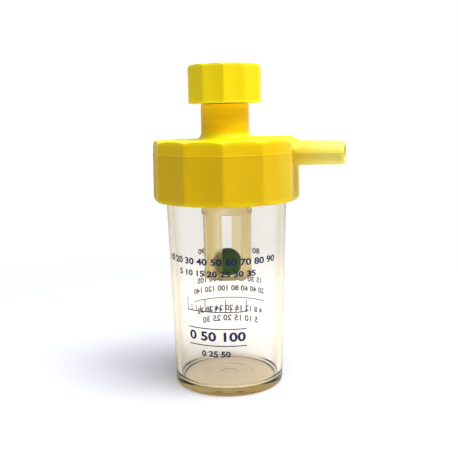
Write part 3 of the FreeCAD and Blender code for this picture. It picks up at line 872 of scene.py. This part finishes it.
# Needled polyester: white and woolly, quite dull, with loose fibres in tufts.
tree = material_for(felt, name="white polyester felt")
place = add(tree, "TexCoord", {})
fibres = add(tree, "TexNoise", {
    "Vector": place.outputs["Object"],
    "Scale": 1 / (0.5 * MM),
    "Detail": 6.0,
    "Distortion": 1.5,
})
tone = add(tree, "MixRGB", {
    "Fac": fibres.outputs["Fac"],
    "Color1": linear("#D8D5CC"),
    "Color2": linear("#F2F0EA"),
})
fuzz = add(tree, "Bump", {"Height": fibres.outputs["Fac"], "Strength": 0.8, "Distance": 0.2 * MM})
woolly = add(tree, "BsdfPrincipled", {
    "Base Color": tone.outputs["Color"],
    "Roughness": 0.95,
    "Sheen Weight": 0.4,
    "Normal": fuzz.outputs["Normal"],
})
add(tree, "OutputMaterial", {"Surface": woolly.outputs["BSDF"]})
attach(felt, "head")
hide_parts("filter_disc")

seat = build("silicone_seat", turned(run_of([
    (SEAT_HOLE + SEAT_CHAMFER, SEAT_FOOT, 0.1),
    (BOSS_RADIUS, SEAT_FOOT, 0.12),
    (BOSS_RADIUS, SEAT_TOP, 0.12),
    (SEAT_HOLE, SEAT_TOP, 0.12),
    (SEAT_HOLE, SEAT_FOOT + SEAT_CHAMFER, 0.1),
], arc_steps=3, closed=True), 128), ring=True)

# Silicone: a pale grey haze that light gets into, dull in patches.
tree = material_for(seat, name="translucent silicone")
place = add(tree, "TexCoord", {})
haze = add(tree, "TexNoise", {"Vector": place.outputs["Object"], "Scale": 1 / (1.5 * MM)})
dull = add(tree, "MapRange", {"Value": haze.outputs["Fac"], "To Min": 0.45, "To Max": 0.6})
silicone = add(tree, "BsdfPrincipled", {
    "Base Color": linear("#D9D6CE"),
    "Roughness": dull.outputs["Result"],
    "IOR": 1.41,
    "Subsurface Weight": 0.7,
    "Subsurface Radius": (1.0, 0.9, 0.8),
    "Subsurface Scale": 1.5 * MM,
})
add(tree, "OutputMaterial", {"Surface": silicone.outputs["BSDF"]})
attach(seat, "head")
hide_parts("valve_seat")

# Float ball
# Hollow ball moulded in dark green polypropylene. It lies in the lip of the cage and floats up
# against the seat when the jar is full.

BALL_FOOT, BALL_TOP = (corner.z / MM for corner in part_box("float_ball"))
BALL_RADIUS = (BALL_TOP - BALL_FOOT) / 2
SEAM_SWELL, SEAM_WIDTH = 0.006, 0.03

# The moulding seam swells the radius at the equator, by a bell curve of the latitude.
latitude = np.linspace(-math.pi / 2, math.pi / 2, 61)
seam = 1 + SEAM_SWELL * np.exp(-(latitude / SEAM_WIDTH) ** 2)
ball_outline = np.stack([
    np.cos(latitude) * BALL_RADIUS * seam,
    np.sin(latitude) * BALL_RADIUS + (BALL_TOP + BALL_FOOT) / 2,
], 1)
ball_outline[[0, -1], 0] = 0
ball = build("green_ball", turned(ball_outline, 96))

# Moulded polypropylene in dark green: satin, with a faint mottle of the pigment.
tree = material_for(ball, name="dark green polypropylene")
place = add(tree, "TexCoord", {})
mottle = add(tree, "TexNoise", {
    "Vector": place.outputs["Object"],
    "Scale": 1 / (2.5 * MM),
    "Detail": 3.0,
})
tone = add(tree, "MixRGB", {
    "Fac": mottle.outputs["Fac"],
    "Color1": linear("#3E6D38"),
    "Color2": linear("#4A7E46"),
})
satin = add(tree, "MapRange", {"Value": mottle.outputs["Fac"], "To Min": 0.4, "To Max": 0.55})
green = add(tree, "BsdfPrincipled", {
    "Base Color": tone.outputs["Color"],
    "Roughness": satin.outputs["Result"],
    "IOR": 1.49,
    "Specular IOR Level": 0.1,
})
add(tree, "OutputMaterial", {"Surface": green.outputs["BSDF"]})
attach(ball, "float")
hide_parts("float_ball")

# Nipple and washer
# Tube turned from brass and nickel plated, fixed in the neck. Its flange keeps the union nut on
# and carries a rubber washer that the hose fitting is drawn against.

NIPPLE_FOOT, FLANGE_TOP = (corner.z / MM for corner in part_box("nipple"))
WASHER_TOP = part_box("nipple_washer")[1].z / MM
FLANGE_RADIUS, FLANGE_TALL, SHANK_RADIUS = 8.8, 1.4, NIPPLE_BORE - 0.01
WASHER_HOLE, LATHE_SPACING = 3.4, 1.885

nipple = build("plated_nipple", turned(run_of([
    (DUCT_RADIUS, NIPPLE_FOOT, 0.2),
    (SHANK_RADIUS, NIPPLE_FOOT, 0.3),
    (SHANK_RADIUS, FLANGE_TOP - FLANGE_TALL, 0.15),
    (FLANGE_RADIUS, FLANGE_TOP - FLANGE_TALL, 0.2),
    (FLANGE_RADIUS, FLANGE_TOP, 0.2),
    (DUCT_RADIUS, FLANGE_TOP, 0.2),
], arc_steps=4, closed=True), 160), ring=True)

# Nickel on turned brass: a warm grey metal with the rings of the lathe. The real rings are finer,
# and they are drawn as coarse as they need to show.
tree = material_for(nipple, name="nickel plated brass")
place = add(tree, "TexCoord", {})
lathe = add(tree, "TexWave", {
    "Vector": place.outputs["Object"],
    "Scale": wave_scale(LATHE_SPACING),
    "Distortion": 0.3,
}, wave_type="RINGS", rings_direction="Z")
turned_marks = add(tree, "Bump", {
    "Height": lathe.outputs["Fac"],
    "Strength": 0.15,
    "Distance": 0.02 * MM,
})
sheen = add(tree, "MapRange", {"Value": lathe.outputs["Fac"], "To Min": 0.2, "To Max": 0.3})
nickel = add(tree, "BsdfPrincipled", {
    "Base Color": linear("#C9C2B4"),
    "Metallic": 1.0,
    "Roughness": sheen.outputs["Result"],
    "Normal": turned_marks.outputs["Normal"],
})
add(tree, "OutputMaterial", {"Surface": nickel.outputs["BSDF"]})
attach(nipple, "head")
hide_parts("nipple")

washer_outline = ring_outline(WASHER_HOLE, FLANGE_RADIUS, FLANGE_TOP, WASHER_TOP)
washer = build("union_washer", turned(washer_outline, 160), ring=True)
washer.data.materials.append(black_rubber)
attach(washer, "head")
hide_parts("nipple_washer")

# Union nut
# Moulded in the same yellow as the cap, with eleven finger flutes. It turns freely on the neck,
# held by the nipple's flange, and its fine inner thread takes the hose fitting.

NUT_FOOT, NUT_TOP = (corner.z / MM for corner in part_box("coupling_nut"))
NUT_RADIUS, NUT_BORE, NUT_HOLE = 14.95, 9.2, NIPPLE_BORE + 0.3
NUT_FLUTES, NUT_TURN = 11, math.radians(7.7)
NUT_FLUTE_DEPTH, NUT_FLUTE_LAND, NUT_FLUTE_BLEND = 0.85, 0.5, 0.35
NUT_PITCH, NUT_THREAD_DEPTH, NUT_RUN_OUT = 1.5, 0.55, 0.6
NUT_THREAD_SLOPE, NUT_THREAD_FLAT = 2.6, 0.3
NUT_MOUTH, NUT_UNDERCUT = 0.8, 0.5
NUT_WEB_TOP = NUT_FOOT + 2.6
NUT_THREAD_FOOT, NUT_THREAD_TOP = NUT_WEB_TOP + 3.2, NUT_TOP - NUT_MOUTH

nut_outline = run_of([
    (NUT_HOLE, NUT_FOOT, 0.3),
    (NUT_RADIUS, NUT_FOOT, 0.9),
    (NUT_RADIUS, NUT_TOP, 0.9),
    (NUT_BORE + NUT_MOUTH, NUT_TOP, 0.2),
    (NUT_BORE, NUT_THREAD_TOP, 0, 0.14),
    (NUT_BORE, NUT_THREAD_FOOT, 0),
    (NUT_BORE + NUT_UNDERCUT, NUT_THREAD_FOOT - NUT_UNDERCUT, 0.2),
    (NUT_BORE + NUT_UNDERCUT, NUT_WEB_TOP, 0.2),
    (NUT_HOLE, NUT_WEB_TOP, 0.3),
], reach=1.2, arc_steps=8, closed=True)
nut_angles = flute_angles(NUT_FLUTES, FLUTE_COLUMNS, FLUTE_CROWDING, NUT_TURN)
nut_grid = turned(nut_outline, nut_angles)
radius = np.hypot(nut_grid[..., 0], nut_grid[..., 1])
angle = np.arctan2(nut_grid[..., 1], nut_grid[..., 0])
height = nut_grid[..., 2]
fluted = flute_radius(angle - NUT_TURN, NUT_RADIUS, NUT_FLUTE_DEPTH, NUT_FLUTE_LAND, NUT_FLUTES)
outside = (nut_outline[:, 0] > NUT_BORE + 1.5)[:, None]
moved = np.where(outside, lesser(radius, fluted, NUT_FLUTE_BLEND) - radius, 0)

# The thread is cut by the share of a pitch that a point is off the middle of a crest: none up to
# flat / slope of a pitch, then an eased slope to the root. It runs out at both ends.
climb = height / NUT_PITCH - angle / (2 * math.pi)
groove = eased(np.abs(climb % 1 - 0.5) * NUT_THREAD_SLOPE - NUT_THREAD_FLAT)
in_thread = eased((NUT_THREAD_TOP - height) / NUT_RUN_OUT)
in_thread *= eased((height - NUT_THREAD_FOOT) / NUT_RUN_OUT)
in_bore = (np.abs(nut_outline[:, 0] - NUT_BORE) < 1e-6)[:, None]
moved += in_bore * in_thread * groove * NUT_THREAD_DEPTH
nut = build("yellow_union_nut", pushed_out(nut_grid, moved), ring=True)
# Painted light in these colours: they are lighter than the cap's, painted light for the stronger light
# on the nut, and lightest at its foot and top edges, painted bounce light from the table below and
# painted highlight from the lamps above.
yellow_plastic(nut, "yellow polypropylene nut", [
    (NUT_FOOT, "#FFF41C"),
    (NUT_FOOT + 0.5, "#FFF018"),
    (NUT_FOOT + 1.4, "#FFE20A"),
    (NUT_TOP - 1.4, "#FFE20A"),
    (NUT_TOP - 0.6, "#FFF428"),
    (NUT_TOP, "#FFF93C"),
], NUT_TOP + 5)

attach(nut, "nut")
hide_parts("coupling_nut")

# Room
# A white table top in a white room, which keeps the object's shadow. A broad lamp hangs overhead
# and a smaller key lamp high on the right. Sizes are in metres.

CAMERA_TURN = math.radians(17.2)
FORWARD = (math.sin(CAMERA_TURN), -math.cos(CAMERA_TURN), 0)
FLOOR_HALF, FLOOR_DROP = 1.5, 0.0002
FADE_FROM, FADE_TO = 0.15, 0.30
DARK_FROM, DARK_TO = 0.08, 0.20
TABLE_GLOW, SEEN_THROUGH_GLOW = 0.11, 0.26

bpy.ops.mesh.primitive_plane_add(size=2 * FLOOR_HALF, location=(0, 0, -FLOOR_DROP))
floor = bpy.context.object
floor.name = "table_top"

# Camera and see-through rays meet the table a little brightened, and plain white further out.
# Mirrored rays meet it darker in front, so that the front of the clear jar shows no grey veil.
tree = material_for(floor, name="white table top")
path = add(tree, "LightPath", {})
place = add(tree, "TexCoord", {})
ahead = add(tree, "VectorMath", {0: place.outputs["Object"], 1: FORWARD}, operation="DOT_PRODUCT")
front = add(tree, "MapRange", {
    "Value": ahead.outputs["Value"],
    "From Min": DARK_FROM,
    "From Max": DARK_TO,
    "To Max": 0.85,
})
mirrored = add(tree, "Math", {
    0: front.outputs["Result"],
    1: path.outputs["Is Glossy Ray"],
}, operation="MULTIPLY")
board = add(tree, "MixRGB", {
    "Fac": mirrored.outputs["Value"],
    "Color1": linear("#E2E2E4"),
    "Color2": linear("#000000"),
})
chalk = add(tree, "BsdfDiffuse", {"Color": board.outputs["Color"]})
seen = add(tree, "Math", {
    0: path.outputs["Is Camera Ray"],
    1: path.outputs["Is Transmission Ray"],
}, operation="MAXIMUM")
lift = add(tree, "Math", {
    0: path.outputs["Is Transmission Ray"],
    1: SEEN_THROUGH_GLOW,
    2: TABLE_GLOW,
}, operation="MULTIPLY_ADD")
lift = add(tree, "Math", {0: lift.outputs["Value"], 1: seen.outputs["Value"]}, operation="MULTIPLY")
hue = add(tree, "MixRGB", {
    "Fac": path.outputs["Is Transmission Ray"],
    "Color1": linear("#D4E0FF"),
    "Color2": linear("#FFF4E0"),
})
glow = add(tree, "Emission", {"Color": hue.outputs["Color"], "Strength": lift.outputs["Value"]})
both = add(tree, "AddShader", {0: chalk.outputs["BSDF"], 1: glow.outputs["Emission"]})
away = add(tree, "VectorMath", {0: place.outputs["Object"]}, operation="LENGTH")
far = add(tree, "MapRange", {
    "Value": away.outputs["Value"],
    "From Min": FADE_FROM,
    "From Max": FADE_TO,
}, interpolation_type="SMOOTHSTEP")
far_and_seen = add(tree, "Math", {
    0: far.outputs["Result"],
    1: seen.outputs["Value"],
}, operation="MULTIPLY")
plain = add(tree, "Emission", {"Color": linear("#FFFFFF"), "Strength": 1.0})
faded = add(tree, "MixShader", {
    0: far_and_seen.outputs["Value"],
    1: both.outputs["Shader"],
    2: plain.outputs["Emission"],
})
add(tree, "OutputMaterial", {"Surface": faded.outputs["Shader"]})

# The room is plain white to camera and see-through rays and darker towards the front to mirrored
# rays. As light it is weak and a little blue.
world = bpy.data.worlds.new("white room")
bpy.context.scene.world = world
world.use_nodes = True
world.node_tree.nodes.clear()
tree = world.node_tree
path = add(tree, "LightPath", {})
direction = add(tree, "TexCoord", {})
frontal = add(tree, "VectorMath", {
    0: direction.outputs["Generated"],
    1: FORWARD,
}, operation="DOT_PRODUCT")
dim = add(tree, "MapRange", {
    "Value": frontal.outputs["Value"],
    "From Min": -0.2,
    "From Max": 0.6,
    "To Min": 1.0,
    "To Max": 0.15,
})
mirrored = add(tree, "Math", {
    0: path.outputs["Is Glossy Ray"],
    1: dim.outputs["Result"],
}, operation="MULTIPLY")
straight = add(tree, "Math", {
    0: path.outputs["Is Camera Ray"],
    1: path.outputs["Is Transmission Ray"],
}, operation="MAXIMUM")
seen = add(tree, "Math", {
    0: straight.outputs["Value"],
    1: mirrored.outputs["Value"],
}, operation="MAXIMUM")
room_light = add(tree, "Background", {"Color": linear("#D6E0FF"), "Strength": 0.15})
white = add(tree, "Background", {"Color": linear("#FFFFFF"), "Strength": 1.0})
either = add(tree, "MixShader", {
    0: seen.outputs["Value"],
    1: room_light.outputs["Background"],
    2: white.outputs["Background"],
})
add(tree, "OutputWorld", {"Surface": either.outputs["Shader"]})


def soft_lamp(name, place, aim, size, watts):
    """Square area lamp at a place, turned to face the point that it lights."""
    lamp = bpy.data.lights.new(name, "AREA")
    lamp.shape = "SQUARE"
    lamp.size = size
    lamp.energy = watts
    holder = bpy.data.objects.new(name, lamp)
    holder.location = place
    holder.rotation_euler = (Vector(aim) - Vector(place)).to_track_quat("-Z", "Y").to_euler()
    bpy.context.scene.collection.objects.link(holder)


turn = Matrix.Rotation(CAMERA_TURN, 3, "Z")
MIDDLE = Vector((0, 0, 0.07))
soft_lamp("overhead", turn @ Vector((0.12, -0.14, 0.80)), MIDDLE, 0.60, 8.6)
soft_lamp("key_right", turn @ Vector((0.34, -0.15, 0.70)), MIDDLE, 0.40, 2.4)

# Camera
# It stands where the photograph was taken from: a distance from the jar's axis, a height, and
# three small angles, with the lens given in pixels of the 458-pixel frame.

CAMERA_AWAY, CAMERA_HEIGHT = 0.2789, 0.10888
CAMERA_PITCH, CAMERA_YAW, CAMERA_ROLL = 0.1597, 0.003, -0.0184
FRAME_PIXELS, LENS_PIXELS = 458, 682.06

camera = bpy.data.cameras.new("camera")
camera.sensor_width = 36.0
camera.lens = LENS_PIXELS / FRAME_PIXELS * camera.sensor_width
camera.clip_start = 0.01
viewer = bpy.data.objects.new("camera", camera)
aim = (Matrix.Rotation(-CAMERA_YAW, 3, "Z") @ Matrix.Rotation(math.pi / 2 - CAMERA_PITCH, 3, "X")
       @ Matrix.Rotation(CAMERA_ROLL, 3, "Z"))
stand = turn @ Vector((0, -CAMERA_AWAY, CAMERA_HEIGHT))
viewer.matrix_world = Matrix.Translation(stand) @ (turn @ aim).to_4x4()
bpy.context.scene.collection.objects.link(viewer)
bpy.context.scene.camera = viewer
bpy.context.scene.view_settings.view_transform = "Standard"
